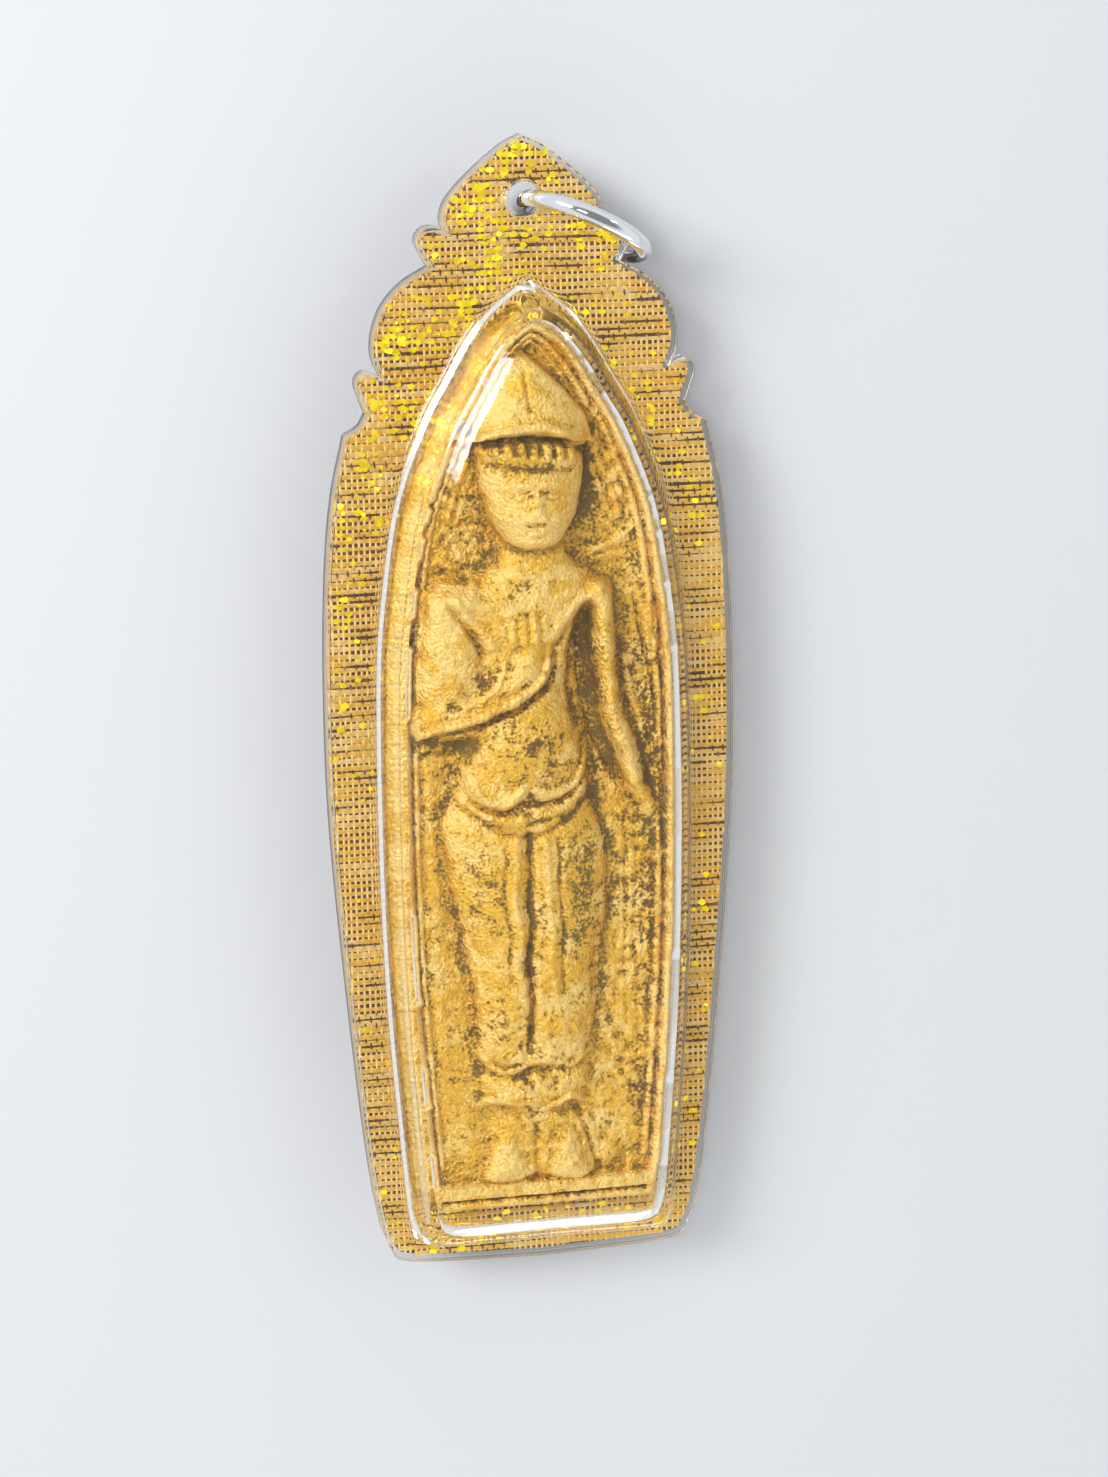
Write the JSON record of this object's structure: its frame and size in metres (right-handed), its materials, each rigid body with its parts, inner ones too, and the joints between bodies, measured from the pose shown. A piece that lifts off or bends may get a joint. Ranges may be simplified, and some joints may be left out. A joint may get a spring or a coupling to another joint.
{
  "type": "amulet pendant",
  "caption": "Cast standing-figure amulet of niche shape, sealed over woven metallic cloth in a clear two-shell case with a pointed head and a jump ring through its tip.",
  "frame": {"origin": "middle of the case's footprint, on the surface that the back dome's flat face rests on", "axes": "+Y towards the pointed tip with the ring, +Z out of the front dome, +X to the right seen from the front"},
  "size_m": [0.0288, 0.08, 0.0114],
  "materials": {
    "clear_acrylic": "polished clear acrylic",
    "metallic_cloth": "coarse metallic weave with glints",
    "cast_gilt": "worn gilt over a rough casting",
    "ring_metal": "mirror polished"
  },
  "bodies": {
    "root": {"front_shell": "clear_acrylic", "back_shell": "clear_acrylic", "woven_cloth": "metallic_cloth", "tablet": "cast_gilt", "jump_ring": "ring_metal"}
  },
  "joints": []
}
